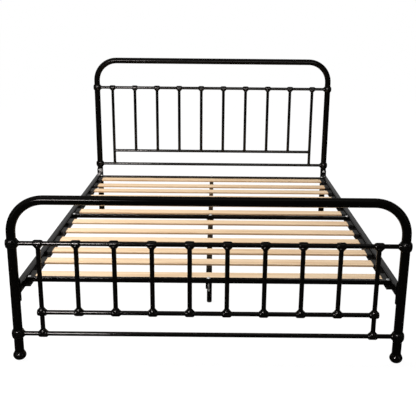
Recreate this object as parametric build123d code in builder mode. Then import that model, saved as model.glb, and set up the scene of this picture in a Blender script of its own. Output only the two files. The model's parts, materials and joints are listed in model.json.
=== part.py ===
"""Metal bed frame: two tube arches with cast knuckles, steel base and timber slats.

Millimetres. Origin on the floor under the middle of the bed, +X to the right seen from
the foot end, +Y towards the head, +Z up. Each separate piece is its own node in parts/.
"""

import os

from build123d import *

os.makedirs("parts", exist_ok=True)

# ------------------------------------------------------------------ driving dimensions
bed_width = 1570.0  # between post axes
bed_length = 2100.0  # between post axes
half_w = bed_width / 2
half_l = bed_length / 2

post_r = 19.0  # 38 mm tube for both arches
post_wall = 1.5
bend_r = 135.0  # centre line of the arch corners
head_arch_z = 1087.0  # axis of the top tube
foot_arch_z = 687.0

bar_r = 9.5  # 19 mm rails and spindles
bar_wall = 1.2
head_upper_z, head_middle_z, head_bottom_z = 907.0, 471.0, 377.0
foot_upper_z, foot_middle_z, foot_bottom_z = 508.0, 210.0, 115.0
spindle_pitch = 151.3
spindle_x = [(i - 4.5) * spindle_pitch for i in range(10)]
outer_x = spindle_x[-1]

knuckle_half, knuckle_r, knuckle_skirt = 17.5, 14.5, 18.5  # cast knuckle on a rail
collar_half, collar_r = 19.5, 26.5  # cast collar on a post
ball_h = 36.0  # ball foot, floor to tube end
ball_r = 28.0

rail_w, rail_h, rail_wall = 25.0, 40.0, 1.5  # side rail section
rail_top = 318.0
plate_w, plate_h, plate_t = 36.0, 98.0, 4.0  # plate on each end of a side rail
rail_bolt_dz = 38.0  # its bolts, above and below the rail's centre

lip_w, leg_h, angle_t = 30.0, 25.0, 3.0  # slat support angle
lip_top = 295.0
angle_half = 975.0

cross_w, cross_wall = 20.0, 1.5  # cross rails
cross_half = 766.0
cross_y = half_l - 120.0  # the end ones, from the middle

beam_w, beam_wall = 25.0, 1.5  # centre beam
leg_y = 455.0  # centre legs, from the middle
leg_bottom = 14.0

slat_l, slat_w, slat_t = 1530.0, 65.0, 10.0
slat_from_foot = [180, 350, 492, 652, 795, 955, 1154, 1318, 1472, 1626, 1762, 1930]
slat_y = [d - half_l for d in slat_from_foot]  # slat centres

# ------------------------------------------------------------------ derived places
rail_mid_z = rail_top - rail_h / 2
rail_inner = half_w - rail_w / 2
lip_inner = rail_inner - lip_w
cross_bottom = rail_top - cross_w  # level with the slats' underside
beam_bottom = cross_bottom - beam_w
plate_face = half_l - post_r - plate_t  # bed side of the end plates
bolt_x = 757.0  # cross rail bolts
peg_x = 756.0  # slat cap pegs
rail_bolt_spots = [(x, z) for x in (-half_w, half_w)
                   for z in (rail_mid_z - rail_bolt_dz, rail_mid_z + rail_bolt_dz)]
cross_spots = [(x, y) for x in (-bolt_x, bolt_x) for y in (-cross_y, 0, cross_y)]
centre_spots = [(0, -cross_y), (0, 0), (0, cross_y)]


# ------------------------------------------------------------------ shared shapes
def arch(y, top_z):
    """Inverted U of round tube in the plane y, bored for the side rail bolts."""
    with BuildPart() as piece:
        with BuildLine(Plane.XZ.offset(-y)) as path:
            FilletPolyline((-half_w, ball_h), (-half_w, top_z), (half_w, top_z),
                           (half_w, ball_h), radius=bend_r)
        with BuildSketch(Plane(origin=(-half_w, y, ball_h), z_dir=(0, 0, 1))):
            Circle(post_r)
            Circle(post_r - post_wall, mode=Mode.SUBTRACT)
        sweep(path=path.line)
        towards_bed = -1 if y > 0 else 1
        with BuildSketch(Plane(origin=(0, y, 0), x_dir=(towards_bed, 0, 0),
                               z_dir=(0, -towards_bed, 0)).offset(-post_r - 1)):
            with Locations([(x * towards_bed, z) for x, z in rail_bolt_spots]):
                Circle(5.5)
        extrude(amount=post_r + 1, mode=Mode.SUBTRACT)
    return piece.part


def long_bar(y, z):
    """Horizontal tube from post to post, coped to the post tubes."""
    with BuildPart() as piece:
        with BuildSketch(Plane.YZ.offset(4 - half_w)):
            with Locations((y, z)):
                Circle(bar_r)
                Circle(bar_r - bar_wall, mode=Mode.SUBTRACT)
        extrude(amount=2 * (half_w - 4))
        with Locations((-half_w, y, z), (half_w, y, z)):
            Cylinder(post_r, 80, mode=Mode.SUBTRACT)
    return piece.part


def short_bar(y, z):
    """Horizontal tube between the two outermost spindles, coped to them."""
    with BuildPart() as piece:
        with BuildSketch(Plane.YZ.offset(2 - outer_x)):
            with Locations((y, z)):
                Circle(bar_r)
                Circle(bar_r - bar_wall, mode=Mode.SUBTRACT)
        extrude(amount=2 * (outer_x - 2))
        with Locations((-outer_x, y, z), (outer_x, y, z)):
            Cylinder(bar_r, 60, mode=Mode.SUBTRACT)
    return piece.part


def spindle_set(y, upper_z, middle_z, bottom_z):
    """Eight spindles down to the middle rail, the outer two down to the bottom rail."""
    with BuildPart() as piece:
        for spots, low in ((spindle_x[1:-1], middle_z), ((-outer_x, outer_x), bottom_z)):
            with BuildSketch(Plane.XY.offset(low + 2)):
                with Locations([(x, y) for x in spots]):
                    Circle(bar_r)
                    Circle(bar_r - bar_wall, mode=Mode.SUBTRACT)
            extrude(amount=upper_z - low - 4)
        # cope every end to the rail that it meets
        short = 2 * (outer_x - spindle_pitch / 2)
        for z, reach in ((upper_z, bed_width), (bottom_z, bed_width), (middle_z, short)):
            with BuildSketch(Plane.YZ.offset(-reach / 2)):
                with Locations((y, z)):
                    Circle(bar_r)
            extrude(amount=reach, mode=Mode.SUBTRACT)
    return piece.part


def knuckle(through=False):
    """Cast barrel along a rail (X), with a tapered neck on the spindle below it."""
    shoulder = knuckle_half - 5
    with BuildPart() as piece:
        with BuildSketch(Plane.XZ):
            with BuildLine():
                Polyline((-knuckle_half, 0), (-knuckle_half, bar_r + 1.4),
                         (1.2 - knuckle_half, bar_r + 2.4), (-shoulder, knuckle_r))
                Line((-shoulder, knuckle_r), (shoulder, knuckle_r))
                Polyline((shoulder, knuckle_r), (knuckle_half - 1.2, bar_r + 2.4),
                         (knuckle_half, bar_r + 1.4), (knuckle_half, 0), (-knuckle_half, 0))
            make_face()
        revolve(axis=Axis.X)
        with BuildSketch(Plane.XZ):
            with BuildLine():
                Polyline((0, 0), (knuckle_r, 0), (bar_r + 2.2, 1.2 - knuckle_skirt),
                         (bar_r + 1.2, -knuckle_skirt), (0, -knuckle_skirt), (0, 0))
            make_face()
        revolve(axis=Axis.Z)
        with BuildSketch(Plane.YZ.offset(-knuckle_half - 1)):
            Circle(bar_r)
        extrude(amount=2 * knuckle_half + 2, mode=Mode.SUBTRACT)
        with BuildSketch(Plane.XY.offset(-knuckle_skirt - 1)):
            Circle(bar_r)
        extrude(amount=knuckle_skirt + 1 + (knuckle_r + 1 if through else 0),
                mode=Mode.SUBTRACT)
    return piece.part


def post_casting():
    """Cast collar on a post, with a boss for the rail that leaves along +X."""
    waist = post_r + 1
    with BuildPart() as piece:
        with BuildSketch(Plane.XZ):
            with BuildLine():
                Line((0, collar_half), (waist, collar_half))
                ThreePointArc((waist, collar_half), (collar_r - 1.6, collar_half / 2),
                              (collar_r, 0))
                ThreePointArc((collar_r, 0), (collar_r - 1.6, -collar_half / 2),
                              (waist, -collar_half))
                Polyline((waist, -collar_half), (0, -collar_half), (0, collar_half))
            make_face()
        revolve(axis=Axis.Z)
        with BuildSketch(Plane.XZ):
            with BuildLine():
                Polyline((0, 0), (0, bar_r + 3), (collar_r, bar_r + 3),
                         (collar_r + 2, bar_r + 1.4), (collar_r + 2, 0), (0, 0))
            make_face()
        revolve(axis=Axis.X)
        with BuildSketch(Plane.XY.offset(-collar_half - 1)):
            Circle(post_r)
        extrude(amount=2 * collar_half + 2, mode=Mode.SUBTRACT)
        with BuildSketch(Plane.YZ):
            Circle(bar_r)
        extrude(amount=collar_r + 4, mode=Mode.SUBTRACT)
    return piece.part


def button_bolt(shank_r, length, head_r, head_h, key):
    """Button head bolt: head on +Z above the origin, shank down -Z, hex socket."""
    with BuildPart() as piece:
        with BuildSketch(Plane.XZ):
            with BuildLine():
                Line((0, head_h), (head_r * 0.55, head_h))
                ThreePointArc((head_r * 0.55, head_h), (head_r * 0.86, head_h * 0.66),
                              (head_r, head_h * 0.15))
                Polyline((head_r, head_h * 0.15), (head_r, 0), (shank_r, 0),
                         (shank_r, -length), (0, -length), (0, head_h))
            make_face()
        revolve(axis=Axis.Z)
        with BuildSketch(Plane.XY.offset(head_h)):
            RegularPolygon(key / 2, 6, major_radius=False)
        extrude(amount=-head_h * 0.6, mode=Mode.SUBTRACT)
    return piece.part


def hex_nut(bore_r, across, thick):
    """Hex nut hanging below z = 0."""
    with BuildPart() as piece:
        with BuildSketch():
            RegularPolygon(across / 2, 6, major_radius=False)
            Circle(bore_r, mode=Mode.SUBTRACT)
        extrude(amount=-thick)
    return piece.part


def ball_foot():
    """Squat turned foot with a spigot that plugs the post tube."""
    bore_r = post_r - post_wall
    with BuildPart() as piece:
        with BuildSketch(Plane.XZ):
            with BuildLine():
                Polyline((0, ball_h + 25), (0, 0), (15, 0), (18, 1))
                ThreePointArc((18, 1), (ball_r, ball_h * 0.49), (21, ball_h - 2))
                Polyline((21, ball_h - 2), (20.5, ball_h), (bore_r - 0.1, ball_h),
                         (bore_r - 0.1, ball_h + 23), (bore_r - 2, ball_h + 25),
                         (0, ball_h + 25))
            make_face()
        revolve(axis=Axis.Z)
    return piece.part


# ================================================================== headboard
with BuildPart() as headboard_frame_tube:
    add(arch(half_l, head_arch_z))
headboard_frame_tube.part.label = "headboard_frame_tube"
export_step(headboard_frame_tube.part, "parts/headboard_frame_tube.step")

with BuildPart() as headboard_upper_rail:
    add(long_bar(half_l, head_upper_z))
headboard_upper_rail.part.label = "headboard_upper_rail"
export_step(headboard_upper_rail.part, "parts/headboard_upper_rail.step")

with BuildPart() as headboard_middle_rail:
    add(short_bar(half_l, head_middle_z))
headboard_middle_rail.part.label = "headboard_middle_rail"
export_step(headboard_middle_rail.part, "parts/headboard_middle_rail.step")

with BuildPart() as headboard_bottom_rail:
    add(long_bar(half_l, head_bottom_z))
headboard_bottom_rail.part.label = "headboard_bottom_rail"
export_step(headboard_bottom_rail.part, "parts/headboard_bottom_rail.step")

with BuildPart() as headboard_spindles:
    add(spindle_set(half_l, head_upper_z, head_middle_z, head_bottom_z))
headboard_spindles.part.label = "headboard_spindles"
export_step(headboard_spindles.part, "parts/headboard_spindles.step")

cast_knuckle = knuckle()
with BuildPart() as headboard_knuckles:
    with Locations([(x, half_l, head_upper_z) for x in spindle_x]):
        add(cast_knuckle)
headboard_knuckles.part.label = "headboard_knuckles"
export_step(headboard_knuckles.part, "parts/headboard_knuckles.step")

cast_collar = post_casting()
with BuildPart() as headboard_post_castings:
    with Locations([(-half_w, half_l, z) for z in (head_upper_z, head_bottom_z)]):
        add(cast_collar)
    mirror(about=Plane.YZ)
headboard_post_castings.part.label = "headboard_post_castings"
export_step(headboard_post_castings.part, "parts/headboard_post_castings.step")

foot_turning = ball_foot()
with BuildPart() as headboard_ball_feet:
    with Locations((-half_w, half_l, 0), (half_w, half_l, 0)):
        add(foot_turning)
headboard_ball_feet.part.label = "headboard_ball_feet"
export_step(headboard_ball_feet.part, "parts/headboard_ball_feet.step")

# ================================================================== footboard
with BuildPart() as footboard_frame_tube:
    add(arch(-half_l, foot_arch_z))
footboard_frame_tube.part.label = "footboard_frame_tube"
export_step(footboard_frame_tube.part, "parts/footboard_frame_tube.step")

with BuildPart() as footboard_upper_rail:
    add(long_bar(-half_l, foot_upper_z))
footboard_upper_rail.part.label = "footboard_upper_rail"
export_step(footboard_upper_rail.part, "parts/footboard_upper_rail.step")

with BuildPart() as footboard_middle_rail:
    add(short_bar(-half_l, foot_middle_z))
footboard_middle_rail.part.label = "footboard_middle_rail"
export_step(footboard_middle_rail.part, "parts/footboard_middle_rail.step")

with BuildPart() as footboard_bottom_rail:
    add(long_bar(-half_l, foot_bottom_z))
footboard_bottom_rail.part.label = "footboard_bottom_rail"
export_step(footboard_bottom_rail.part, "parts/footboard_bottom_rail.step")

with BuildPart() as footboard_spindles:
    add(spindle_set(-half_l, foot_upper_z, foot_middle_z, foot_bottom_z))
footboard_spindles.part.label = "footboard_spindles"
export_step(footboard_spindles.part, "parts/footboard_spindles.step")

with BuildPart() as footboard_top_knuckles:
    with Locations([(x, -half_l, foot_upper_z) for x in spindle_x]):
        add(cast_knuckle)
footboard_top_knuckles.part.label = "footboard_top_knuckles"
export_step(footboard_top_knuckles.part, "parts/footboard_top_knuckles.step")

# the lower knuckles are the same casting turned over, bored through on the outer spindles
low_knuckle = knuckle().rotate(Axis.X, 180)
low_through = knuckle(through=True).rotate(Axis.X, 180)
with BuildPart() as footboard_middle_knuckles:
    with Locations([(x, -half_l, foot_middle_z) for x in spindle_x[1:-1]]):
        add(low_knuckle)
    with Locations((-outer_x, -half_l, foot_middle_z), (outer_x, -half_l, foot_middle_z)):
        add(low_through)
footboard_middle_knuckles.part.label = "footboard_middle_knuckles"
export_step(footboard_middle_knuckles.part, "parts/footboard_middle_knuckles.step")

with BuildPart() as footboard_bottom_knuckles:
    with Locations((-outer_x, -half_l, foot_bottom_z), (outer_x, -half_l, foot_bottom_z)):
        add(low_knuckle)
footboard_bottom_knuckles.part.label = "footboard_bottom_knuckles"
export_step(footboard_bottom_knuckles.part, "parts/footboard_bottom_knuckles.step")

with BuildPart() as footboard_post_castings:
    with Locations([(-half_w, -half_l, z) for z in (foot_upper_z, foot_bottom_z)]):
        add(cast_collar)
    mirror(about=Plane.YZ)
footboard_post_castings.part.label = "footboard_post_castings"
export_step(footboard_post_castings.part, "parts/footboard_post_castings.step")

with BuildPart() as footboard_ball_feet:
    with Locations((-half_w, -half_l, 0), (half_w, -half_l, 0)):
        add(foot_turning)
footboard_ball_feet.part.label = "footboard_ball_feet"
export_step(footboard_ball_feet.part, "parts/footboard_ball_feet.step")

# ================================================================== side rails
with BuildPart() as left_side_rail:
    with BuildSketch(Plane.XZ.offset(-plate_face)):
        with Locations((-half_w, rail_mid_z)):
            RectangleRounded(rail_w, rail_h, 2.5)
            RectangleRounded(rail_w - 2 * rail_wall, rail_h - 2 * rail_wall, 1.0,
                             mode=Mode.SUBTRACT)
    extrude(amount=2 * plate_face)
left_side_rail.part.label = "left_side_rail"
export_step(left_side_rail.part, "parts/left_side_rail.step")

with BuildPart() as right_side_rail:
    mirror(left_side_rail.part, about=Plane.YZ)
right_side_rail.part.label = "right_side_rail"
export_step(right_side_rail.part, "parts/right_side_rail.step")

with BuildPart() as rail_end_plates:
    with BuildSketch(Plane.XZ.offset(plate_face)):
        with Locations((-half_w, rail_mid_z), (half_w, rail_mid_z)):
            RectangleRounded(plate_w, plate_h, 6)
        with Locations(rail_bolt_spots):
            Circle(4.3, mode=Mode.SUBTRACT)
    extrude(amount=plate_t)
    mirror(about=Plane.XZ)
rail_end_plates.part.label = "rail_end_plates"
export_step(rail_end_plates.part, "parts/rail_end_plates.step")

rail_bolt = button_bolt(shank_r=4.0, length=22.0, head_r=8.0, head_h=4.6, key=5.0)
with BuildPart() as rail_bolts:
    with Locations([Location((x, 1.4 - plate_face, z), (-90, 0, 0))
                    for x, z in rail_bolt_spots]):
        add(rail_bolt)
    mirror(about=Plane.XZ)
rail_bolts.part.label = "rail_bolts"
export_step(rail_bolts.part, "parts/rail_bolts.step")

with BuildPart() as rail_bolt_washers:
    with BuildSketch(Plane.XZ.offset(plate_face - 1.4)):
        with Locations(rail_bolt_spots):
            Circle(8.5)
            Circle(4.3, mode=Mode.SUBTRACT)
    extrude(amount=1.4)
    mirror(about=Plane.XZ)
rail_bolt_washers.part.label = "rail_bolt_washers"
export_step(rail_bolt_washers.part, "parts/rail_bolt_washers.step")

with BuildPart() as post_insert_nuts:
    with BuildSketch(Plane.XZ.offset(half_l - post_r + 0.2)):
        with Locations(rail_bolt_spots):
            Circle(5.4)
            Circle(4.0, mode=Mode.SUBTRACT)
    extrude(amount=14)
    mirror(about=Plane.XZ)
post_insert_nuts.part.label = "post_insert_nuts"
export_step(post_insert_nuts.part, "parts/post_insert_nuts.step")

# angle along the inside of each side rail: the slat caps peg into its lip
with BuildPart() as left_slat_angle:
    with BuildSketch(Plane.XZ.offset(-angle_half)):
        with BuildLine():
            Polyline((-rail_inner, lip_top - angle_t), (-lip_inner, lip_top - angle_t),
                     (-lip_inner, lip_top), (angle_t - rail_inner, lip_top),
                     (angle_t - rail_inner, lip_top - angle_t + leg_h),
                     (-rail_inner, lip_top - angle_t + leg_h), close=True)
        make_face()
    extrude(amount=2 * angle_half)
    with BuildSketch(Plane.XY.offset(lip_top)):
        with Locations([(-peg_x, y) for y in slat_y]):
            Circle(3.2)
        with Locations([(x, y) for x, y in cross_spots if x < 0]):
            Circle(3.3)
    extrude(amount=-angle_t, mode=Mode.SUBTRACT)
left_slat_angle.part.label = "left_slat_angle"
export_step(left_slat_angle.part, "parts/left_slat_angle.step")

with BuildPart() as right_slat_angle:
    mirror(left_slat_angle.part, about=Plane.YZ)
right_slat_angle.part.label = "right_slat_angle"
export_step(right_slat_angle.part, "parts/right_slat_angle.step")

# ================================================================== cross rails
with BuildPart() as foot_cross_rail:
    with BuildSketch(Plane.YZ.offset(-cross_half)):
        with Locations((-cross_y, rail_top - cross_w / 2)):
            RectangleRounded(cross_w, cross_w, 2)
            RectangleRounded(cross_w - 2 * cross_wall, cross_w - 2 * cross_wall, 0.6,
                             mode=Mode.SUBTRACT)
    extrude(amount=2 * cross_half)
    with BuildSketch(Plane.XY.offset(rail_top)):
        with Locations((-bolt_x, -cross_y), (bolt_x, -cross_y)):
            Circle(3.3)
        with Locations((0, -cross_y)):
            Circle(4.3)
    extrude(amount=-cross_w, mode=Mode.SUBTRACT)
foot_cross_rail.part.label = "foot_cross_rail"
export_step(foot_cross_rail.part, "parts/foot_cross_rail.step")

with BuildPart() as middle_cross_rail:
    with Locations((0, cross_y, 0)):
        add(foot_cross_rail.part)
middle_cross_rail.part.label = "middle_cross_rail"
export_step(middle_cross_rail.part, "parts/middle_cross_rail.step")

with BuildPart() as head_cross_rail:
    with Locations((0, 2 * cross_y, 0)):
        add(foot_cross_rail.part)
head_cross_rail.part.label = "head_cross_rail"
export_step(head_cross_rail.part, "parts/head_cross_rail.step")

with BuildPart() as cross_rail_pads:
    with BuildSketch(Plane.XY.offset(lip_top)):
        with Locations(cross_spots):
            RectangleRounded(18, cross_w, 2)
            Circle(3.3, mode=Mode.SUBTRACT)
    extrude(amount=cross_bottom - lip_top)
cross_rail_pads.part.label = "cross_rail_pads"
export_step(cross_rail_pads.part, "parts/cross_rail_pads.step")

cross_bolt = button_bolt(shank_r=3.0, length=36.0, head_r=7.0, head_h=4.0, key=4.0)
with BuildPart() as cross_rail_bolts:
    with Locations([(x, y, rail_top) for x, y in cross_spots]):
        add(cross_bolt)
cross_rail_bolts.part.label = "cross_rail_bolts"
export_step(cross_rail_bolts.part, "parts/cross_rail_bolts.step")

with BuildPart() as cross_rail_nuts:
    with Locations([(x, y, lip_top - angle_t) for x, y in cross_spots]):
        add(hex_nut(3.0, 10.0, 5.0))
cross_rail_nuts.part.label = "cross_rail_nuts"
export_step(cross_rail_nuts.part, "parts/cross_rail_nuts.step")

# ================================================================== centre beam
beam_gap = 6.0  # half the gap between the two halves, where the middle bolt passes
beam_end = cross_y + cross_w / 2
with BuildPart() as centre_beam_foot_half:
    with BuildSketch(Plane.XZ.offset(beam_gap)):
        with Locations((0, cross_bottom - beam_w / 2)):
            RectangleRounded(beam_w, beam_w, 2)
            RectangleRounded(beam_w - 2 * beam_wall, beam_w - 2 * beam_wall, 0.6,
                             mode=Mode.SUBTRACT)
    extrude(amount=beam_end - beam_gap)
    with BuildSketch(Plane.XY.offset(cross_bottom)):
        with Locations((0, -cross_y)):
            Circle(4.3)
    extrude(amount=-beam_w, mode=Mode.SUBTRACT)
    with BuildSketch(Plane.YZ.offset(-beam_w)):
        with Locations((-26, cross_bottom - beam_w / 2)):
            Circle(3.3)
    extrude(amount=2 * beam_w, mode=Mode.SUBTRACT)
    with BuildSketch(Plane.XY.offset(beam_bottom)):
        with Locations((0, -leg_y - 24), (0, -leg_y + 24)):
            Circle(3.0)
    extrude(amount=5, mode=Mode.SUBTRACT)
centre_beam_foot_half.part.label = "centre_beam_foot_half"
export_step(centre_beam_foot_half.part, "parts/centre_beam_foot_half.step")

with BuildPart() as centre_beam_head_half:
    mirror(centre_beam_foot_half.part, about=Plane.XZ)
centre_beam_head_half.part.label = "centre_beam_head_half"
export_step(centre_beam_head_half.part, "parts/centre_beam_head_half.step")

# folded channel that joins the two halves under the middle cross rail
splice_t, splice_half = 2.5, 42.0
with BuildPart() as beam_splice_channel:
    with BuildSketch(Plane.XZ.offset(-splice_half)):
        with Locations((0, cross_bottom - 1 - (beam_w + splice_t - 1) / 2)):
            Rectangle(beam_w + 0.4 + 2 * splice_t, beam_w + splice_t - 1)
        with Locations((0, cross_bottom - beam_w / 2)):
            Rectangle(beam_w + 0.4, beam_w, mode=Mode.SUBTRACT)
    extrude(amount=2 * splice_half)
    with BuildSketch(Plane.YZ.offset(-beam_w)):
        with Locations((-26, cross_bottom - beam_w / 2), (26, cross_bottom - beam_w / 2)):
            Circle(3.3)
    extrude(amount=2 * beam_w, mode=Mode.SUBTRACT)
    with BuildSketch(Plane.XY.offset(beam_bottom)):
        Circle(4.3)
    extrude(amount=-splice_t, mode=Mode.SUBTRACT)
beam_splice_channel.part.label = "beam_splice_channel"
export_step(beam_splice_channel.part, "parts/beam_splice_channel.step")

splice_side = beam_w / 2 + 0.2 + splice_t
with BuildPart() as splice_bolts:
    with Locations([Location((splice_side, y, cross_bottom - beam_w / 2), (0, 90, 0))
                    for y in (-26, 26)]):
        add(button_bolt(shank_r=3.0, length=37.0, head_r=6.0, head_h=3.6, key=4.0))
splice_bolts.part.label = "splice_bolts"
export_step(splice_bolts.part, "parts/splice_bolts.step")

with BuildPart() as splice_nuts:
    with Locations([Location((-splice_side, y, cross_bottom - beam_w / 2), (0, 90, 0))
                    for y in (-26, 26)]):
        add(hex_nut(3.0, 10.0, 5.0))
splice_nuts.part.label = "splice_nuts"
export_step(splice_nuts.part, "parts/splice_nuts.step")

centre_bolt = button_bolt(shank_r=4.0, length=58.0, head_r=8.0, head_h=4.6, key=5.0)
with BuildPart() as centre_bolts:
    with Locations([(x, y, rail_top) for x, y in centre_spots]):
        add(centre_bolt)
centre_bolts.part.label = "centre_bolts"
export_step(centre_bolts.part, "parts/centre_bolts.step")

with BuildPart() as centre_bolt_nuts:
    with Locations((0, -cross_y, beam_bottom), (0, 0, beam_bottom - splice_t),
                   (0, cross_y, beam_bottom)):
        add(hex_nut(4.0, 13.0, 6.5))
centre_bolt_nuts.part.label = "centre_bolt_nuts"
export_step(centre_bolt_nuts.part, "parts/centre_bolt_nuts.step")

# ================================================================== centre legs
leg_plate_t = 3.0
with BuildPart() as foot_centre_leg:
    with BuildSketch(Plane.XY.offset(leg_bottom)):
        with Locations((0, -leg_y)):
            RectangleRounded(beam_w, beam_w, 2)
            RectangleRounded(beam_w - 2 * beam_wall, beam_w - 2 * beam_wall, 0.6,
                             mode=Mode.SUBTRACT)
    extrude(amount=beam_bottom - leg_plate_t - leg_bottom)
    with BuildSketch(Plane.XY.offset(beam_bottom - leg_plate_t)):
        with Locations((0, -leg_y)):
            RectangleRounded(beam_w, 70, 3)
        with Locations((0, -leg_y - 24), (0, -leg_y + 24)):
            Circle(3.3, mode=Mode.SUBTRACT)
    extrude(amount=leg_plate_t)
foot_centre_leg.part.label = "foot_centre_leg"
export_step(foot_centre_leg.part, "parts/foot_centre_leg.step")

with BuildPart() as head_centre_leg:
    mirror(foot_centre_leg.part, about=Plane.XZ)
head_centre_leg.part.label = "head_centre_leg"
export_step(head_centre_leg.part, "parts/head_centre_leg.step")

with BuildPart() as leg_plate_screws:
    with Locations([Location((0, s * leg_y + d, beam_bottom - leg_plate_t), (180, 0, 0))
                    for s in (-1, 1) for d in (-24, 24)]):
        add(button_bolt(shank_r=3.0, length=14.0, head_r=5.5, head_h=3.4, key=4.0))
leg_plate_screws.part.label = "leg_plate_screws"
export_step(leg_plate_screws.part, "parts/leg_plate_screws.step")

# plastic insert in the end of each leg, with the thread of the levelling glide
with BuildPart() as leg_inserts:
    with BuildSketch(Plane.XY.offset(leg_bottom - 3)):
        with Locations((0, -leg_y), (0, leg_y)):
            RectangleRounded(beam_w, beam_w, 2)
    extrude(amount=3)
    with BuildSketch(Plane.XY.offset(leg_bottom)):
        with Locations((0, -leg_y), (0, leg_y)):
            RectangleRounded(beam_w - 2 * beam_wall - 0.2, beam_w - 2 * beam_wall - 0.2, 1)
    extrude(amount=22)
    with BuildSketch(Plane.XY.offset(leg_bottom - 3)):
        with Locations((0, -leg_y), (0, leg_y)):
            Circle(4.0)
    extrude(amount=25, mode=Mode.SUBTRACT)
leg_inserts.part.label = "leg_inserts"
export_step(leg_inserts.part, "parts/leg_inserts.step")


def levelling_glide(y):
    """Moulded disc with a threaded stem that screws up into the leg."""
    with BuildPart() as piece:
        with BuildSketch(Plane.XZ.offset(-y)):
            with BuildLine():
                Polyline((0, 0), (11, 0), (12.5, 2), (12.5, 7), (10.5, 9), (3.95, 9),
                         (3.95, 46), (2.9, 47), (0, 47), close=True)
            make_face()
        revolve(axis=Axis((0, y, 0), (0, 0, 1)))
    return piece.part


with BuildPart() as foot_levelling_glide:
    add(levelling_glide(-leg_y))
foot_levelling_glide.part.label = "foot_levelling_glide"
export_step(foot_levelling_glide.part, "parts/foot_levelling_glide.step")

with BuildPart() as head_levelling_glide:
    add(levelling_glide(leg_y))
head_levelling_glide.part.label = "head_levelling_glide"
export_step(head_levelling_glide.part, "parts/head_levelling_glide.step")

# ================================================================== slats and their caps
slat_z = cross_bottom + slat_t / 2
with BuildPart() as one_slat:
    with BuildSketch(Plane.YZ.offset(-slat_l / 2)):
        RectangleRounded(slat_w, slat_t, 2.2)
    extrude(amount=slat_l)

for number, y in enumerate(slat_y, start=1):
    with BuildPart() as slat:
        with Locations((0, y, slat_z)):
            add(one_slat.part)
    slat.part.label = f"slat_{number:02d}"
    export_step(slat.part, f"parts/slat_{number:02d}.step")

cap_len, cap_w, cap_h = 26.0, 71.0, 16.0
pocket_w, pocket_h = slat_w + 0.6, slat_t + 0.6
cap_out = rail_inner - angle_t - 0.5  # closed end of the cap
with BuildPart() as one_cap:
    with BuildSketch(Plane.YZ.offset(-cap_out)):
        with Locations((0, lip_top + cap_h / 2)):
            RectangleRounded(cap_w, cap_h, 3)
    extrude(amount=cap_len)
    with BuildSketch(Plane.YZ.offset(-slat_l / 2 - 0.4)):
        with Locations((0, slat_z)):
            RectangleRounded(pocket_w, pocket_h, 2.4)
    extrude(amount=cap_len, mode=Mode.SUBTRACT)
    with BuildSketch(Plane.XY.offset(lip_top - angle_t - 1)):
        with Locations((-peg_x, 0)):
            Circle(3.0)
    extrude(amount=angle_t + 1)

with BuildPart() as left_slat_caps:
    with Locations([(0, y, 0) for y in slat_y]):
        add(one_cap.part)
left_slat_caps.part.label = "left_slat_caps"
export_step(left_slat_caps.part, "parts/left_slat_caps.step")

with BuildPart() as right_slat_caps:
    mirror(left_slat_caps.part, about=Plane.YZ)
right_slat_caps.part.label = "right_slat_caps"
export_step(right_slat_caps.part, "parts/right_slat_caps.step")
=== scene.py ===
"""Looks of the metal bed frame: enamel, castings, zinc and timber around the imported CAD.

Metres, in the CAD's own frame: origin on the floor under the middle of the bed, +X to the
right seen from the foot end, +Y towards the headboard, +Z up.
"""

import json
import math

import bpy
from mathutils import Matrix, Vector


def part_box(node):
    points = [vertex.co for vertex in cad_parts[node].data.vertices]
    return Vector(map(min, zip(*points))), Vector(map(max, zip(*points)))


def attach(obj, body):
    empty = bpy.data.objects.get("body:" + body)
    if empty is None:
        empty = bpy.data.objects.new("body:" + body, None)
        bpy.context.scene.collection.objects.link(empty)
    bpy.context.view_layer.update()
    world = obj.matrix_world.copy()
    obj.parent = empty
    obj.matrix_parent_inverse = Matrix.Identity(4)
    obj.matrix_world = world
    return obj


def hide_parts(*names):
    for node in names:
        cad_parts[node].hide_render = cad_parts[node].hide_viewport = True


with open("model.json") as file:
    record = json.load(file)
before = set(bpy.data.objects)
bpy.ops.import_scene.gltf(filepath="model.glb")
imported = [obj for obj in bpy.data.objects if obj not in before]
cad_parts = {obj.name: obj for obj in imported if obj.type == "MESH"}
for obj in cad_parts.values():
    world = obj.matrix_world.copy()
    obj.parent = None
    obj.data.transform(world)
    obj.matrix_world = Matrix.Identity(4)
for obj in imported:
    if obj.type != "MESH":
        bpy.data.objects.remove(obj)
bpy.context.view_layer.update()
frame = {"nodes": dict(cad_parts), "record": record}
nodes = frame["nodes"]
MM = 0.001


def middle(node):
    """Centre of a CAD node's box."""
    low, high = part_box(node)
    return (low + high) / 2


# ------------------------------------------------------------------ places from the frame
head_y = middle("headboard_upper_rail").y
foot_y = middle("footboard_upper_rail").y
post_low, post_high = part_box("headboard_frame_tube")
post_r = (post_high.y - post_low.y) / 2
post_x = post_high.x - post_r
bar_r = (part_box("headboard_upper_rail")[1].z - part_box("headboard_upper_rail")[0].z) / 2


# ================================================================== node helpers
def group_tree(name, inputs, outputs):
    """Empty shader node group with float inputs (name, value) and outputs (name, kind)."""
    tree = bpy.data.node_groups.new(name, "ShaderNodeTree")
    for label, value in inputs:
        socket = tree.interface.new_socket(label, in_out="INPUT", socket_type="NodeSocketFloat")
        socket.default_value = value
    for label, kind in outputs:
        tree.interface.new_socket(label, in_out="OUTPUT", socket_type="NodeSocket" + kind)
    return tree, tree.nodes.new("NodeGroupInput"), tree.nodes.new("NodeGroupOutput")


def math_node(tree, operation, a, b=None, clamp=False):
    """Math node on two sockets or numbers; gives its output."""
    node = tree.nodes.new("ShaderNodeMath")
    node.operation = operation
    node.use_clamp = clamp
    for socket, value in zip(node.inputs, (a, b)):
        if value is None:
            continue
        if isinstance(value, (int, float)):
            socket.default_value = value
        else:
            tree.links.new(value, socket)
    return node.outputs[0]


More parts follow.
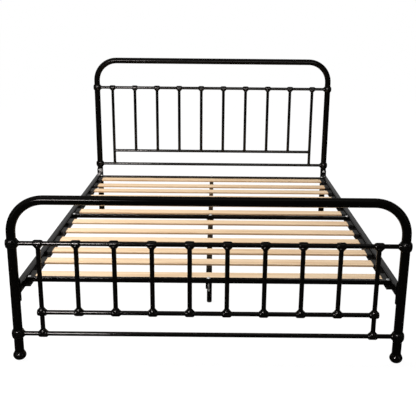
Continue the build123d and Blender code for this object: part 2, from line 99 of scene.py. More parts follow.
def noise_node(tree, vector, scale, detail=3.0, roughness=0.5, distortion=0.0):
    """Noise texture on a vector; scale may be a socket. Gives the value output."""
    node = tree.nodes.new("ShaderNodeTexNoise")
    node.inputs["Detail"].default_value = detail
    node.inputs["Roughness"].default_value = roughness
    node.inputs["Distortion"].default_value = distortion
    tree.links.new(vector, node.inputs["Vector"])
    if isinstance(scale, (int, float)):
        node.inputs["Scale"].default_value = scale
    else:
        tree.links.new(scale, node.inputs["Scale"])
    return node.outputs["Fac"]


def ramp_node(tree, value, stops):
    """Colour ramp through (place, colour) stops; grey stops may be plain numbers."""
    node = tree.nodes.new("ShaderNodeValToRGB")
    tree.links.new(value, node.inputs["Fac"])
    points = node.color_ramp.elements
    while len(points) < len(stops):
        points.new(0.5)
    for point, (place, colour) in zip(points, stops):
        point.position = place
        point.color = (colour,) * 3 + (1,) if isinstance(colour, (int, float)) else (*colour, 1)
    return node.outputs["Color"]


def mix_colours(tree, share, first, second, blend="MIX"):
    """Mix of two colours, each a socket or a triple, by a socket or number."""
    node = tree.nodes.new("ShaderNodeMix")
    node.data_type = "RGBA"
    node.blend_type = blend
    sockets = [s for s in node.inputs if s.enabled]
    for socket, value in zip(sockets, (share, first, second)):
        if isinstance(value, (int, float)):
            socket.default_value = value
        elif isinstance(value, tuple):
            socket.default_value = (*value, 1)
        else:
            tree.links.new(value, socket)
    return next(s for s in node.outputs if s.enabled)


def object_coordinates(tree, scale=(1, 1, 1)):
    """Object coordinates, stretched by scale."""
    place = tree.nodes.new("ShaderNodeTexCoord")
    mapping = tree.nodes.new("ShaderNodeMapping")
    mapping.inputs["Scale"].default_value = scale
    tree.links.new(place.outputs["Object"], mapping.inputs["Vector"])
    return mapping.outputs["Vector"]


def place_group(tree, group, **values):
    """Group node with its inputs set."""
    node = tree.nodes.new("ShaderNodeGroup")
    node.node_tree = group
    for label, value in values.items():
        node.inputs[label.replace("_", " ")].default_value = value
    return node


# ================================================================== shared effects
def make_paint_film():
    """Sprayed film: orange peel in its height, and soft cloudiness in its gloss."""
    tree, given, out = group_tree(
        "paint_film",
        [("Peel size", 700.0), ("Peel depth", 1.0), ("Gloss", 0.16), ("Cloud", 0.08)],
        [("Height", "Float"), ("Roughness", "Float"), ("Shade", "Float")])
    where = object_coordinates(tree)
    peel = noise_node(tree, where, given.outputs["Peel size"], detail=1.5)
    sag = noise_node(tree, where, 38.0, detail=2.0)
    height = math_node(tree, "ADD", math_node(tree, "MULTIPLY", peel, 0.35),
                       math_node(tree, "MULTIPLY", sag, 0.65))
    tree.links.new(math_node(tree, "MULTIPLY", height, given.outputs["Peel depth"]),
                   out.inputs["Height"])
    cloud = noise_node(tree, where, 9.0, detail=5.0, roughness=0.62)
    smear = math_node(tree, "MULTIPLY", math_node(tree, "SUBTRACT", cloud, 0.5),
                      given.outputs["Cloud"])
    fine = math_node(tree, "MULTIPLY", math_node(tree, "SUBTRACT", peel, 0.5), 0.05)
    rough = math_node(tree, "ADD", math_node(tree, "ADD", smear, fine), given.outputs["Gloss"])
    tree.links.new(rough, out.inputs["Roughness"])
    tree.links.new(cloud, out.inputs["Shade"])
    return tree


def make_edge_wear():
    """Mask of raised edges, broken up by noise."""
    tree, given, out = group_tree(
        "edge_wear", [("Reach", 0.5), ("Break up", 160.0)], [("Mask", "Float")])
    geometry = tree.nodes.new("ShaderNodeNewGeometry")
    raised = math_node(tree, "MULTIPLY",
                       math_node(tree, "SUBTRACT", geometry.outputs["Pointiness"], 0.52), 14.0,
                       clamp=True)
    broken = noise_node(tree, object_coordinates(tree), given.outputs["Break up"], detail=6.0,
                        roughness=0.7)
    mask = math_node(tree, "MULTIPLY", math_node(tree, "MULTIPLY", raised, broken),
                     given.outputs["Reach"], clamp=True)
    tree.links.new(mask, out.inputs["Mask"])
    return tree


def make_dust():
    """Faint settled dust: strongest on faces that look up."""
    tree, given, out = group_tree(
        "dust", [("Amount", 0.3), ("Grain", 240.0)], [("Mask", "Float")])
    geometry = tree.nodes.new("ShaderNodeNewGeometry")
    parts = tree.nodes.new("ShaderNodeSeparateXYZ")
    tree.links.new(geometry.outputs["Normal"], parts.inputs[0])
    upward = math_node(tree, "MULTIPLY", parts.outputs["Z"], parts.outputs["Z"], clamp=True)
    above = math_node(tree, "GREATER_THAN", parts.outputs["Z"], 0.0)
    facing = math_node(tree, "MULTIPLY", upward, above)
    where = object_coordinates(tree)
    speck = noise_node(tree, where, given.outputs["Grain"], detail=4.0, roughness=0.75)
    patch = noise_node(tree, where, 6.0, detail=3.0)
    mask = math_node(tree, "MULTIPLY", math_node(tree, "MULTIPLY", speck, patch), facing)
    tree.links.new(math_node(tree, "MULTIPLY", mask, given.outputs["Amount"], clamp=True),
                   out.inputs["Mask"])
    return tree


PAINT_FILM = make_paint_film()
EDGE_WEAR = make_edge_wear()
DUST = make_dust()


# ================================================================== materials
def new_material(name):
    """Material with a Principled BSDF; gives the material, its tree and the shader."""
    material = bpy.data.materials.new(name)
    material.use_nodes = True
    return material, material.node_tree, material.node_tree.nodes["Principled BSDF"]


def bump(tree, shader, height, distance, strength=1.0):
    """Bump from a height socket into the shader's normal."""
    node = tree.nodes.new("ShaderNodeBump")
    node.inputs["Distance"].default_value = distance
    node.inputs["Strength"].default_value = strength
    tree.links.new(height, node.inputs["Height"])
    tree.links.new(node.outputs["Normal"], shader.inputs["Normal"])


ENAMEL_BLACK = (0.0028, 0.0025, 0.0021)
WORN_BROWN = (0.07, 0.058, 0.05)
ENAMEL_DUST = (0.18, 0.165, 0.15)
PLASTIC_DUST = (0.2, 0.19, 0.17)


def black_enamel(name, colour, gloss, peel_size, peel_depth, wear, shine=0.42):
    """Gloss black baked enamel; wear is how far its edges thin to a brown grey."""
    material, tree, shader = new_material(name)
    film = place_group(tree, PAINT_FILM, Peel_size=peel_size, Gloss=gloss, Cloud=0.1)
    dust = place_group(tree, DUST, Amount=0.07)
    shaded = mix_colours(tree, film.outputs["Shade"], tuple(c * 0.75 for c in colour),
                         tuple(c * 1.3 for c in colour))
    if wear:
        edges = place_group(tree, EDGE_WEAR, Reach=wear)
        shaded = mix_colours(tree, edges.outputs["Mask"], shaded, WORN_BROWN)
    dusted = mix_colours(tree, dust.outputs["Mask"], shaded, ENAMEL_DUST)
    tree.links.new(dusted, shader.inputs["Base Color"])
    tree.links.new(math_node(tree, "ADD", film.outputs["Roughness"],
                             math_node(tree, "MULTIPLY", dust.outputs["Mask"], 0.6)),
                   shader.inputs["Roughness"])
    shader.inputs["Specular IOR Level"].default_value = shine
    bump(tree, shader, film.outputs["Height"], peel_depth)
    return material


def cast_enamel():
    """The same enamel over a sand-cast surface: coarser, with the mould's parting line."""
    material = black_enamel("cast_black_enamel", (0.0033, 0.0028, 0.0024), gloss=0.2,
                            peel_size=420.0, peel_depth=0.00012, wear=0.8)
    tree = material.node_tree
    shader = tree.nodes["Principled BSDF"]
    film_bump = next(n for n in tree.nodes if n.bl_idname == "ShaderNodeBump")
    where = object_coordinates(tree)
    pits = noise_node(tree, where, 900.0, detail=3.0, roughness=0.6)
    lumps = noise_node(tree, where, 110.0, detail=3.0)
    parts = tree.nodes.new("ShaderNodeSeparateXYZ")
    tree.links.new(where, parts.inputs[0])
    off_plane = math_node(tree, "ABSOLUTE", math_node(
        tree, "SUBTRACT", math_node(tree, "ABSOLUTE", parts.outputs["Y"]), head_y))
    line = math_node(tree, "SUBTRACT", 1.0, math_node(tree, "MULTIPLY", off_plane, 1800.0),
                     clamp=True)
    height = math_node(tree, "ADD", math_node(tree, "MULTIPLY", pits, 0.25),
                       math_node(tree, "ADD", lumps, math_node(tree, "MULTIPLY", line, 0.8)))
    node = tree.nodes.new("ShaderNodeBump")
    node.inputs["Distance"].default_value = 0.0005
    node.inputs["Strength"].default_value = 0.7
    tree.links.new(height, node.inputs["Height"])
    tree.links.new(film_bump.outputs["Normal"], node.inputs["Normal"])
    tree.links.new(node.outputs["Normal"], shader.inputs["Normal"])
    return material


def zinc_plate():
    """Bright zinc: fine turning lines, faint blue and straw blotches, dull edges."""
    material, tree, shader = new_material("bright_zinc")
    where = object_coordinates(tree)
    blotch = noise_node(tree, where, 300.0, detail=3.0)
    tint = ramp_node(tree, blotch, [(0.3, (0.62, 0.65, 0.68)), (0.55, (0.8, 0.8, 0.78)),
                                    (0.75, (0.82, 0.77, 0.66))])
    edges = place_group(tree, EDGE_WEAR, Reach=0.6)
    tree.links.new(mix_colours(tree, edges.outputs["Mask"], tint, (0.3, 0.29, 0.28)),
                   shader.inputs["Base Color"])
    shader.inputs["Metallic"].default_value = 0.45
    lines = noise_node(tree, object_coordinates(tree, (1, 1, 6)), 1500.0, detail=2.0)
    tree.links.new(math_node(tree, "ADD", math_node(tree, "MULTIPLY", lines, 0.22), 0.2),
                   shader.inputs["Roughness"])
    bump(tree, shader, lines, 0.00006)
    return material


def planed_timber():
    """Bare planed pine: grain along the slat, soft growth bands, rare small flecks, painted
    shade on the side faces.
    """
    material, tree, shader = new_material("planed_slat_timber")
    along = object_coordinates(tree, (1.1, 30.0, 30.0))
    fibres = noise_node(tree, object_coordinates(tree, (6.0, 340.0, 340.0)), 1.0, detail=6.0,
                        roughness=0.65)
    bands = noise_node(tree, along, 1.6, detail=4.0, roughness=0.55, distortion=0.6)
    boards = noise_node(tree, object_coordinates(tree, (0.35, 6.5, 1.0)), 1.0, detail=2.0)
    flecks = noise_node(tree, object_coordinates(tree, (30.0, 420.0, 420.0)), 1.0, detail=2.0)
    base = ramp_node(tree, bands, [(0.28, (0.66, 0.45, 0.27)), (0.46, (0.8, 0.62, 0.42)),
                                   (0.6, (0.86, 0.7, 0.5)), (0.78, (0.74, 0.54, 0.34))])
    toned = mix_colours(tree, math_node(tree, "MULTIPLY", boards, 0.55), base,
                        (0.83, 0.62, 0.42), "MULTIPLY")
    lined = mix_colours(tree, ramp_node(tree, fibres, [(0.42, 0.0), (0.75, 0.42)]), toned,
                        (0.55, 0.36, 0.2))
    flecked = mix_colours(tree, ramp_node(tree, flecks, [(0.7, 0.0), (0.82, 0.5)]), lined,
                          (0.38, 0.23, 0.12))
    # painted shade: faces that turn sideways are darkened and browned, standing in for the shade
    # on the slats' front and back faces
    geometry = tree.nodes.new("ShaderNodeNewGeometry")
    facing = tree.nodes.new("ShaderNodeSeparateXYZ")
    tree.links.new(geometry.outputs["Normal"], facing.inputs[0])
    side_face_shade = math_node(tree, "SUBTRACT", 1.0, math_node(tree, "ABSOLUTE", facing.outputs["Z"]),
                     clamp=True)
    side_shaded = mix_colours(tree, math_node(tree, "MULTIPLY", side_face_shade, 0.8), flecked,
                        (0.78, 0.62, 0.46), "MULTIPLY")
    tree.links.new(side_shaded, shader.inputs["Base Color"])
    tree.links.new(math_node(tree, "ADD", math_node(tree, "MULTIPLY", fibres, 0.25), 0.42),
                   shader.inputs["Roughness"])
    bump(tree, shader, math_node(tree, "ADD", fibres, math_node(tree, "MULTIPLY", bands, 0.5)),
         0.0003, 0.6)
    return material


def moulded_plastic(name, colour, rough, grain_depth):
    """Moulded plastic with a fine spark-eroded grain and pale rubbed edges."""
    material, tree, shader = new_material(name)
    where = object_coordinates(tree)
    grain = noise_node(tree, where, 1400.0, detail=2.0)
    flow = noise_node(tree, where, 26.0, detail=3.0)
    shaded = mix_colours(tree, flow, tuple(c * 0.8 for c in colour),
                         tuple(c * 1.25 for c in colour))
    edges = place_group(tree, EDGE_WEAR, Reach=0.7)
    rubbed = mix_colours(tree, edges.outputs["Mask"], shaded, tuple(c * 2.6 for c in colour))
    dust = place_group(tree, DUST, Amount=0.22)
    tree.links.new(mix_colours(tree, dust.outputs["Mask"], rubbed, PLASTIC_DUST),
                   shader.inputs["Base Color"])
    tree.links.new(math_node(tree, "ADD", math_node(tree, "MULTIPLY", grain, 0.15), rough),
                   shader.inputs["Roughness"])
    bump(tree, shader, grain, grain_depth)
    return material


ENAMEL = black_enamel("tube_black_enamel", ENAMEL_BLACK, gloss=0.12, peel_size=620.0,
                      peel_depth=0.000009, wear=0.0)
SOFT_ENAMEL = black_enamel("soft_black_enamel", ENAMEL_BLACK, gloss=0.14, peel_size=560.0,
                           peel_depth=0.000008, wear=0.0, shine=0.12)
CAST = cast_enamel()
FOOT_ENAMEL = black_enamel("turned_black_enamel", ENAMEL_BLACK, gloss=0.11, peel_size=520.0,
                           peel_depth=0.00001, wear=0.5)
WELD = black_enamel("weld_black_enamel", (0.003, 0.0026, 0.0022), gloss=0.2, peel_size=900.0,
                    peel_depth=0.0001, wear=0.7)
ZINC = zinc_plate()
TIMBER = planed_timber()
CAP_PLASTIC = moulded_plastic("slat_cap_plastic", (0.013, 0.013, 0.0125), rough=0.34,
                              grain_depth=0.00005)
BLACK_PLASTIC = moulded_plastic("black_plastic", (0.011, 0.011, 0.011), rough=0.45,
                                grain_depth=0.00006)

by_slot = {
    "black_enamel_steel": ENAMEL,
    "black_cast_knuckle": CAST,
    "black_turned_foot": ENAMEL,
    "black_plastic": BLACK_PLASTIC,
    "slat_cap_plastic": CAP_PLASTIC,
    "zinc_plated_steel": ZINC,
    "slat_wood": TIMBER,
}
# the two arches and the centre beam have the softer enamel, every other tube the glossy one
for part in frame["record"]["subparts"]:
    shown = nodes[part["node"]]
    shown.data.materials.clear()
    softer = part["node"].endswith("frame_tube") or part["node"].startswith("centre_beam")
    shown.data.materials.append(SOFT_ENAMEL if softer else by_slot[part["material_slot"]])


# ================================================================== modelling helpers
def clean_start():
    """Object mode with nothing selected."""
    if bpy.context.object and bpy.context.object.mode != "OBJECT":
        bpy.ops.object.mode_set(mode="OBJECT")
    bpy.ops.object.select_all(action="DESELECT")


def settle(piece):
    """Normals outward and the piece's place in its mesh."""
    clean_start()
    bpy.context.view_layer.objects.active = piece
    piece.select_set(True)
    bpy.ops.object.transform_apply(location=True, rotation=True, scale=True)
    bpy.ops.object.mode_set(mode="EDIT")
    bpy.ops.mesh.select_all(action="SELECT")
    bpy.ops.mesh.remove_doubles(threshold=1e-6)
    bpy.ops.mesh.normals_make_consistent(inside=False)
    bpy.ops.object.mode_set(mode="OBJECT")
    return piece


def turned(profile, steps=56):
    """Solid turned about Z through (radius, height) points in millimetres, bottom first."""
    clean_start()
    radius, height = profile[0]
    bpy.ops.mesh.primitive_circle_add(vertices=steps, radius=radius * MM, fill_type="NGON",
                                      location=(0, 0, height * MM))
    piece = bpy.context.object
    bpy.ops.object.mode_set(mode="EDIT")
    bpy.ops.mesh.select_all(action="SELECT")
    for next_radius, next_height in profile[1:]:
        rise = (next_height - height) * MM
        bpy.ops.mesh.extrude_region_move(TRANSFORM_OT_translate={"value": (0, 0, rise)})
        share = next_radius / radius
        bpy.ops.transform.resize(value=(share, share, 1), center_override=(0, 0, 0))
        radius, height = next_radius, next_height
    return settle(piece)


def swelling(low, high, radius, ends, steps=9):
    """Profile of a rounded belly between two heights, from radius ends to radius and back."""
    points = []
    for k in range(steps + 1):
        turn = math.pi * k / steps
        points.append((ends + (radius - ends) * math.sin(turn),
                       (low + high) / 2 - (high - low) / 2 * math.cos(turn)))
    return points


def chamfered_block(size, centre, edge, segments=3):
    """Block with all its edges rounded, millimetres."""
    clean_start()
    bpy.ops.mesh.primitive_cube_add(size=1, location=[c * MM for c in centre])
    piece = bpy.context.object
    piece.scale = [v * MM for v in size]
    bpy.ops.object.transform_apply(location=True, rotation=True, scale=True)
    bpy.ops.object.mode_set(mode="EDIT")
    bpy.ops.mesh.select_all(action="SELECT")
    bpy.ops.mesh.bevel(offset=edge * MM, segments=segments, affect="EDGES")
    return settle(piece)


def apply_modifier(piece, kind, **values):
    """Add a modifier, set it and apply it."""
    clean_start()
    bpy.context.view_layer.objects.active = piece
    piece.select_set(True)
    modifier = piece.modifiers.new("step", kind)
    for label, value in values.items():
        setattr(modifier, label, value)
    bpy.ops.object.modifier_apply(modifier=modifier.name)
    return piece


def join(first, *others):
    """One object out of several."""
    clean_start()
    for piece in (first, *others):
        piece.select_set(True)
    bpy.context.view_layer.objects.active = first
    bpy.ops.object.join()
    return first


def less(piece, *cutters):
    """The piece with the cutters taken out of it."""
    for cutter in cutters:
        apply_modifier(piece, "BOOLEAN", operation="DIFFERENCE", solver="EXACT", object=cutter)
        bpy.data.objects.remove(cutter, do_unlink=True)
    return piece


def fused(piece, grain, softness):
    """Overlapping solids melted into one skin, as poured metal is, with soft inner corners."""
    apply_modifier(piece, "REMESH", mode="VOXEL", voxel_size=grain * MM, adaptivity=0)
    return apply_modifier(piece, "SMOOTH", factor=0.5, iterations=softness)


def rounded(piece, angle=35):
    """Smooth shading below an edge angle."""
    clean_start()
    bpy.context.view_layer.objects.active = piece
    piece.select_set(True)
    bpy.ops.object.shade_smooth_by_angle(angle=math.radians(angle))
    return piece


def moved(piece, matrix):
    """The piece with its mesh turned and shifted."""
    piece.data.transform(matrix)
    if matrix.determinant() < 0:
        piece.data.flip_normals()
    return piece


def bore(radius, length, axis="Z"):
    """Cutter for a round bore through the origin along an axis, millimetres."""
    cutter = turned([(radius, -length / 2), (radius, length / 2)], 64)
    turn = {"Z": Matrix.Identity(4), "X": Matrix.Rotation(math.pi / 2, 4, "Y"),
            "Y": Matrix.Rotation(math.pi / 2, 4, "X")}[axis]
    return moved(cutter, turn)


def lay_copies(pattern, name, matrices, node, material):
    """A copy of the pattern at each place on the frame, all standing for one CAD node."""
    for number, matrix in enumerate(matrices, start=1):
        piece = bpy.data.objects.new(f"{name}_{number:02d}", pattern.data.copy())
        bpy.context.scene.collection.objects.link(piece)
        moved(piece, matrix)
        piece.data.materials.clear()
        piece.data.materials.append(material)
        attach(piece, "frame")
        if node:
            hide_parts(node)


def shift(x, y, z):
    """Matrix that shifts by metres."""
    return Matrix.Translation((x, y, z))


# ================================================================== castings
MIRROR_X = Matrix.Scale(-1, 4, (1, 0, 0))
MIRROR_Z = Matrix.Scale(-1, 4, (0, 0, 1))
UNTURNED = Matrix.Identity(4)
SPINDLES = 10
FIT = 0.02  # room round a tube in its casting's bore, mm
tube = bar_r / MM
post = post_r / MM
outer_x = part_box("headboard_spindles")[1].x - bar_r
spindle_x = [outer_x * (2 * k / (SPINDLES - 1) - 1) for k in range(SPINDLES)]


def knuckle_pattern():
    """Barrel on the rail with a tapered neck on the spindle, poured as one lump."""
    half = [(tube + 5.4, 0.0), (tube + 5.4, 8.0), (tube + 5.3, 13.0), (tube + 4.9, 14.4),
            (tube + 3.8, 16.2), (tube + 3.1, 17.2), (tube + 2.9, 18.2), (tube + 2.4, 18.8),
            (tube + 0.9, 19.1)]
    barrel = turned([(r, -x) for r, x in half[:0:-1]] + half)
    moved(barrel, Matrix.Rotation(math.pi / 2, 4, "Y"))
    neck = turned([(tube + 0.8, -20.2), (tube + 1.9, -19.9), (tube + 2.3, -19.0),
                   (tube + 2.9, -17.8), (tube + 4.9, -15.4), (tube + 6.4, -12.2),
                   (tube + 6.6, -8.0), (tube + 4.0, 0.0)])
    lump = fused(join(barrel, neck), 0.75, 3)
    return less(lump, bore(tube + FIT, 60, "X"))


def spindle_bored(piece):
    """The same casting, bored for its spindle as well, from 8 mm under the rail's axis."""
    bore_long, bore_top = 26, -8
    cutter = bore(tube + FIT, bore_long)
    return less(piece, moved(cutter, shift(0, 0, (bore_top - bore_long / 2) * MM)))


def collar_pattern():
    """Swelling collar on the post with a boss for the rail that leaves it."""
    collar = turned([(post + 0.6, -19.3), (post + 1.7, -18.9), (post + 2.1, -17.6)]
                    + swelling(-17.6, 17.6, 26.4, post + 2.1)[1:-1]
                    + [(post + 2.1, 17.6), (post + 1.7, 18.9), (post + 0.6, 19.3)])
    boss = turned([(tube + 4.4, 15), (tube + 3.8, 23), (tube + 2.9, 26.4), (tube + 2.4, 28.0),
                   (tube + 1.0, 28.4)])
    moved(boss, Matrix.Rotation(math.pi / 2, 4, "Y"))
    lump = fused(join(collar, boss), 1.0, 6)
    rail_bore = moved(bore(tube + FIT, 40, "X"), shift(0.0283, 0, 0))
    return less(lump, bore(post + FIT, 80), rail_bore)


def make_castings():
    """Knuckles and collars on both ends, in place of the plain CAD ones."""
    knuckle = rounded(spindle_bored(knuckle_pattern()))
    collar = rounded(collar_pattern())
    outer_pair = (spindle_x[0], spindle_x[-1])
    for rail, node, name, along, turn in (
            ("headboard_upper_rail", "headboard_knuckles", "cast_head_knuckle",
             spindle_x, UNTURNED),
            ("footboard_upper_rail", "footboard_top_knuckles", "cast_foot_top_knuckle",
             spindle_x, UNTURNED),
            ("footboard_middle_rail", "footboard_middle_knuckles", "cast_foot_middle_knuckle",
             spindle_x, MIRROR_Z),
            ("footboard_bottom_rail", "footboard_bottom_knuckles", "cast_foot_bottom_knuckle",
             outer_pair, MIRROR_Z)):
        spot = middle(rail)
        lay_copies(knuckle, name, [shift(x, spot.y, spot.z) @ turn for x in along], node,
                   CAST)
    for end in ("headboard", "footboard"):
        places = []
        for rail in ("upper_rail", "bottom_rail"):
            spot = middle(f"{end}_{rail}")
            places.append(shift(-post_x, spot.y, spot.z))
            places.append(shift(post_x, spot.y, spot.z) @ MIRROR_X)
        lay_copies(collar, f"cast_{end}_collar", places, f"{end}_post_castings",
                   CAST)
    for pattern in (knuckle, collar):
        bpy.data.objects.remove(pattern, do_unlink=True)


# ================================================================== ball feet
def make_ball_feet():
    """Squat turned feet with a rolled lip under the tube and a spigot inside it."""
    foot = turned([(13.6, 0.0), (15.2, 0.15), (16.6, 0.7), (18.4, 1.9), (20.8, 4.2), (23.2, 7.2),
                   (25.4, 11.0), (26.7, 14.6), (27.1, 17.6), (26.8, 20.8), (25.8, 24.4),
                   (24.2, 28.0), (22.4, 31.0), (20.9, 32.8), (20.1, 33.6), (20.0, 34.2),
                   (20.5, 34.7), (20.6, 35.3), (20.2, 35.8), (post - 1.7, 35.95),
                   (post - 1.7, 58.0), (post - 3.6, 60.5)], 72)
    rounded(foot, 40)
    for end, y in (("headboard", head_y), ("footboard", foot_y)):
        lay_copies(foot, f"turned_{end}_foot", [shift(-post_x, y, 0), shift(post_x, y, 0)],
                   f"{end}_ball_feet", FOOT_ENAMEL)
    bpy.data.objects.remove(foot, do_unlink=True)


# ================================================================== slat caps
SLATS = 12
CAP_WIDE = 71.0  # across the slat, mm
CAP_DROP = 3.0  # below the slat, mm
POCKET_WIDE, POCKET_TALL = 65.6, 10.6  # the slat's end with a little room, mm
RIB_PLACES = (-24, -8, 8, 24)


def cap_pattern():
    """Left cap: a sleeve round the slat end with ribs, a collar and a stop lip."""
    low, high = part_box("left_slat_caps")
    slat_low, slat_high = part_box("slat_01")
    closed_x, open_x, top_z = low.x / MM, high.x / MM, high.z / MM
    slat_end, lip_z = slat_low.x / MM, slat_low.z / MM - CAP_DROP
    long, tall = open_x - closed_x, top_z - lip_z
    mid_x, mid_z = (closed_x + open_x) / 2, (lip_z + top_z) / 2
    sleeve = chamfered_block((long, CAP_WIDE - 1.6, tall - 0.9), (mid_x, 0, mid_z - 0.4), 2.2)
    collar = chamfered_block((4.0, CAP_WIDE, tall), (open_x - 2.0, 0, mid_z), 1.4)
    stop = chamfered_block((3.0, CAP_WIDE - 8, tall - 0.2), (closed_x + 2.6, 0, mid_z - 0.05),
                           1.0)
    ribs = [chamfered_block((long - 8, 2.4, tall - 0.1), (mid_x, y, mid_z - 0.02), 0.7, 2)
            for y in RIB_PLACES]
    cap = fused(join(sleeve, collar, stop, *ribs), 0.75, 2)
    pocket = chamfered_block((open_x - slat_end + 1.4, POCKET_WIDE, POCKET_TALL),
                             ((open_x + slat_end) / 2 + 0.5, 0,
                              (slat_low.z + slat_high.z) / 2 / MM), 2.0)
    return rounded(less(cap, pocket), 40)


def make_slat_caps():
    """Moulded caps on both ends of every slat."""
    cap = cap_pattern()
    places = [shift(0, middle(f"slat_{k:02d}").y, 0) for k in range(1, SLATS + 1)]
    for side, turn in (("left", UNTURNED), ("right", MIRROR_X)):
        lay_copies(cap, f"moulded_{side}_cap", [turn @ place for place in places],
                   f"{side}_slat_caps", CAP_PLASTIC)
    bpy.data.objects.remove(cap, do_unlink=True)


# ================================================================== weld beads
SMALL_BEAD = 0.0019  # bead radius on spindles, slat angles and legs
PLATE_BEAD = 0.0023  # bead radius on the side rails' end plates


def bead(points, radius):
    """Weld bead along a closed or open run of points in metres: overlapped frozen ripples."""
    clean_start()
    drops = []
    for k, point in enumerate(points):
        bpy.ops.mesh.primitive_ico_sphere_add(subdivisions=2, location=point,
                                              radius=radius * (1 + 0.12 * math.sin(2.3 * k)))
        drops.append(bpy.context.object)
    piece = fused(join(*drops), radius / MM * 0.3, 1)
    return rounded(settle(piece), 60)


def saddle(radius, count=22):
    """Points where a spindle stands on a rail of the same size, about the rail's axis."""
    spots = []
    for k in range(count):
        turn = 2 * math.pi * k / count
        side = radius * math.sin(turn)
        spots.append(Vector((radius * math.cos(turn), side,
                             math.sqrt(max(radius ** 2 - side ** 2, 0)))))
    return spots


def round_rectangle(half_a, half_b, steps_a, steps_b):
    """(a, b) points round a rectangle, with steps_a and steps_b of them along its sides."""
    corners = [(-half_a, -half_b), (half_a, -half_b), (half_a, half_b), (-half_a, half_b)]
    points = []
    for (a0, b0), (a1, b1), count in zip(corners, corners[1:] + corners[:1],
                                         (steps_a, steps_b) * 2):
        points += [(a0 + (a1 - a0) * k / count, b0 + (b1 - b0) * k / count)
                   for k in range(count)]
    return points


def lay_welds(pattern, name, places):
    """Painted copies of a bead at each place; the pattern itself goes."""
    lay_copies(pattern, name, places, None, WELD)
    bpy.data.objects.remove(pattern, do_unlink=True)


def weld_headboard():
    """Beads round the spindles on the two lower headboard rails, which have no castings."""
    ring = bead(saddle(bar_r + 0.0004), SMALL_BEAD)
    on_middle = middle("headboard_middle_rail")
    on_bottom = middle("headboard_bottom_rail")
    turned_in = Matrix.Rotation(math.pi / 2, 4, "Y")
    places = [shift(x, on_middle.y, on_middle.z) for x in spindle_x[1:-1]]
    places += [shift(x, on_bottom.y, on_bottom.z) for x in (spindle_x[0], spindle_x[-1])]
    places += [shift(spindle_x[0], on_middle.y, on_middle.z) @ turned_in,
               shift(spindle_x[-1], on_middle.y, on_middle.z) @ turned_in.inverted()]
    lay_welds(ring, "headboard_weld", places)


def weld_end_plates():
    """Beads round the side rails where they meet their end plates."""
    low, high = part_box("left_side_rail")
    half_x, half_z = (high.x - low.x) / 2 + 0.0004, (high.z - low.z) / 2 + 0.0004
    spacing = 0.0024
    run = round_rectangle(half_x, half_z, int(2 * half_x / spacing), int(2 * half_z / spacing))
    frame_bead = bead([Vector((x, 0, z)) for x, z in run], PLATE_BEAD)
    rail_mid_z = (low.z + high.z) / 2
    lay_welds(frame_bead, "end_plate_weld",
              [shift(x, y - math.copysign(0.0006, y), rail_mid_z)
               for y in (low.y, high.y) for x in (-post_x, post_x)])


def weld_slat_angles():
    """Seven short stitches above and below each slat angle, along its side rail."""
    low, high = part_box("left_slat_angle")
    stitches, from_end = 7, 0.05
    stitch = bead([Vector((0, 0.0026 * k - 0.0143, 0)) for k in range(12)], SMALL_BEAD)
    places = []
    for x in (low.x, -low.x):
        for k in range(stitches):
            y = low.y + from_end + (high.y - low.y - 2 * from_end) * k / (stitches - 1)
            places.append(shift(x + math.copysign(0.0008, -x), y, high.z))
            places.append(shift(x + math.copysign(0.0004, -x), y, high.z - 0.0252))
    lay_welds(stitch, "angle_stitch_weld", places)


def weld_centre_legs():
    """Beads round the centre legs under their top plates."""
    low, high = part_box("foot_centre_leg")
    half = (high.x - low.x) / 2 + 0.0003
    plate_thick = 0.0034
    run = round_rectangle(half, half, 10, 10)
    leg_bead = bead([Vector((x, y, 0)) for x, y in run], SMALL_BEAD)
    lay_welds(leg_bead, "leg_plate_weld",
              [shift(0, middle(f"{end}_centre_leg").y, high.z - plate_thick)
               for end in ("foot", "head")])


# ================================================================== stage, lights, camera
def soft_panel(name, place, target, size, power, tint=(1, 1, 1), card=False):
    """Rectangular soft light that points at target; a card is only seen in reflections."""
    data = bpy.data.lights.new(name, "AREA")
    data.shape = "RECTANGLE"
    data.size, data.size_y = size
    data.energy = power
    data.color = tint
    lamp = bpy.data.objects.new(name, data)
    lamp.location = place
    lamp.rotation_euler = (Vector(target) - Vector(place)).to_track_quat("-Z", "Y").to_euler()
    lamp.visible_camera = False
    lamp.visible_diffuse = not card
    lamp.visible_glossy = card
    bpy.context.scene.collection.objects.link(lamp)


def mirrored_cards(left_name, right_name, place, target, size, power):
    """A card on each side of the bed, given by the right one."""
    for name, side in ((left_name, -1), (right_name, 1)):
        soft_panel(name, (side * place[0], *place[1:]), (side * target[0], *target[1:]), size,
                   power, card=True)


def make_floor():
    """Pale studio floor: white to the eye, dark in the enamel, and soft under the timber."""
    bpy.ops.object.select_all(action="DESELECT")
    bpy.ops.mesh.primitive_circle_add(vertices=96, radius=60, fill_type="NGON")
    floor = bpy.context.object
    floor.name = "studio_floor"
    material, tree, shader = new_material("pale_floor")
    rays = tree.nodes.new("ShaderNodeLightPath")
    seen = mix_colours(tree, rays.outputs["Is Camera Ray"], (0.7, 0.66, 0.6), (0.1, 0.1, 0.1))
    tree.links.new(mix_colours(tree, rays.outputs["Is Glossy Ray"], seen, (0.02, 0.019, 0.018)),
                   shader.inputs["Base Color"])
    shader.inputs["Roughness"].default_value = 0.9
    shader.inputs["Specular IOR Level"].default_value = 0.0
    shader.inputs["Emission Color"].default_value = (1, 1, 1, 1)
    tree.links.new(math_node(tree, "MULTIPLY", rays.outputs["Is Camera Ray"], 0.95),
                   shader.inputs["Emission Strength"])
    floor.data.materials.append(material)


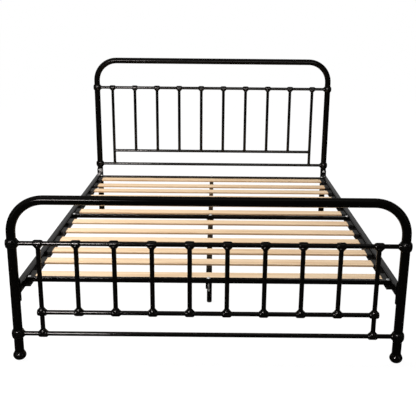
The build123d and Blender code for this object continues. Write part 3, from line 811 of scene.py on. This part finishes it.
def make_world():
    """White studio walls: full white to the eye, softer on the timber, dark in the enamel."""
    world = bpy.data.worlds.new("studio")
    bpy.context.scene.world = world
    world.use_nodes = True
    tree = world.node_tree
    rays = tree.nodes.new("ShaderNodeLightPath")
    seen = mix_colours(tree, rays.outputs["Is Camera Ray"], (0.5, 0.5, 0.5), (1.0, 1.0, 1.0))
    tree.links.new(mix_colours(tree, rays.outputs["Is Glossy Ray"], seen,
                               (0.022, 0.021, 0.021)),
                   tree.nodes["Background"].inputs["Color"])
    tree.nodes["Background"].inputs["Strength"].default_value = 1.0


CAMERA_PLACE = (0.0221, -3.5843, 1.3896)
CAMERA_TURN = (0.043, -15.706, 0.536)  # yaw, pitch and roll, degrees


def make_camera():
    """Camera at standing chest height beyond the foot end, tilted down a little."""
    yaw, pitch, roll = (math.radians(angle) for angle in CAMERA_TURN)
    ahead = Vector((math.sin(yaw) * math.cos(pitch), math.cos(yaw) * math.cos(pitch),
                    math.sin(pitch)))
    level = Vector((math.cos(yaw), -math.sin(yaw), 0))
    upright = level.cross(ahead)
    right = level * math.cos(roll) + upright * math.sin(roll)
    up = upright * math.cos(roll) - level * math.sin(roll)
    data = bpy.data.cameras.new("camera")
    data.sensor_width = 36.0
    data.lens = 58.25
    data.shift_x = -0.0170
    data.shift_y = -0.0093
    data.clip_start, data.clip_end = 0.05, 200
    camera = bpy.data.objects.new("camera", data)
    turn = Matrix((right, up, -ahead)).transposed().to_4x4()
    camera.matrix_world = Matrix.Translation(CAMERA_PLACE) @ turn
    bpy.context.scene.collection.objects.link(camera)
    bpy.context.scene.camera = camera


make_castings()
make_ball_feet()
make_slat_caps()
weld_headboard()
weld_end_plates()
weld_slat_angles()
weld_centre_legs()
make_floor()
make_world()
soft_panel("overhead_softbox", (-1.5, 0.2, 3.6), (-0.4, -0.3, 0.3), (2.4, 2.4), 112)
soft_panel("left_window", (-2.0, -0.7, 1.3), (-0.6, -0.5, 0.3), (0.8, 1.4), 19)
soft_panel("front_card", (-1.3, -3.7, 1.6), (-0.4, -0.6, 0.5), (0.8, 0.36), 66,
           (1, 0.92, 0.9), card=True)
soft_panel("headboard_strip", (0.05, -0.9, 1.36), (0.05, 1.05, 1.1), (2.1, 0.3), 18,
           (1, 0.94, 0.9), card=True)
mirrored_cards("rear_card_left", "rear_card_right", (2.1, 5.0, 2.0), (0.7, 0.0, 0.3),
               (2.2, 2.0), 4)
soft_panel("ceiling_card", (-0.3, -2.4, 4.5), (0, -1.0, 0.5), (4.0, 0.7), 9, card=True)
mirrored_cards("left_card", "right_card", (3.5, -3.2, 1.6), (0.6, -1.0, 0.6), (0.35, 2.4), 3)
mirrored_cards("rear_side_card_left", "rear_side_card_right", (4.2, 3.4, 1.6),
               (0.6, 0.6, 0.5), (0.9, 2.4), 7)
make_camera()
bpy.context.scene.view_settings.view_transform = "Standard"
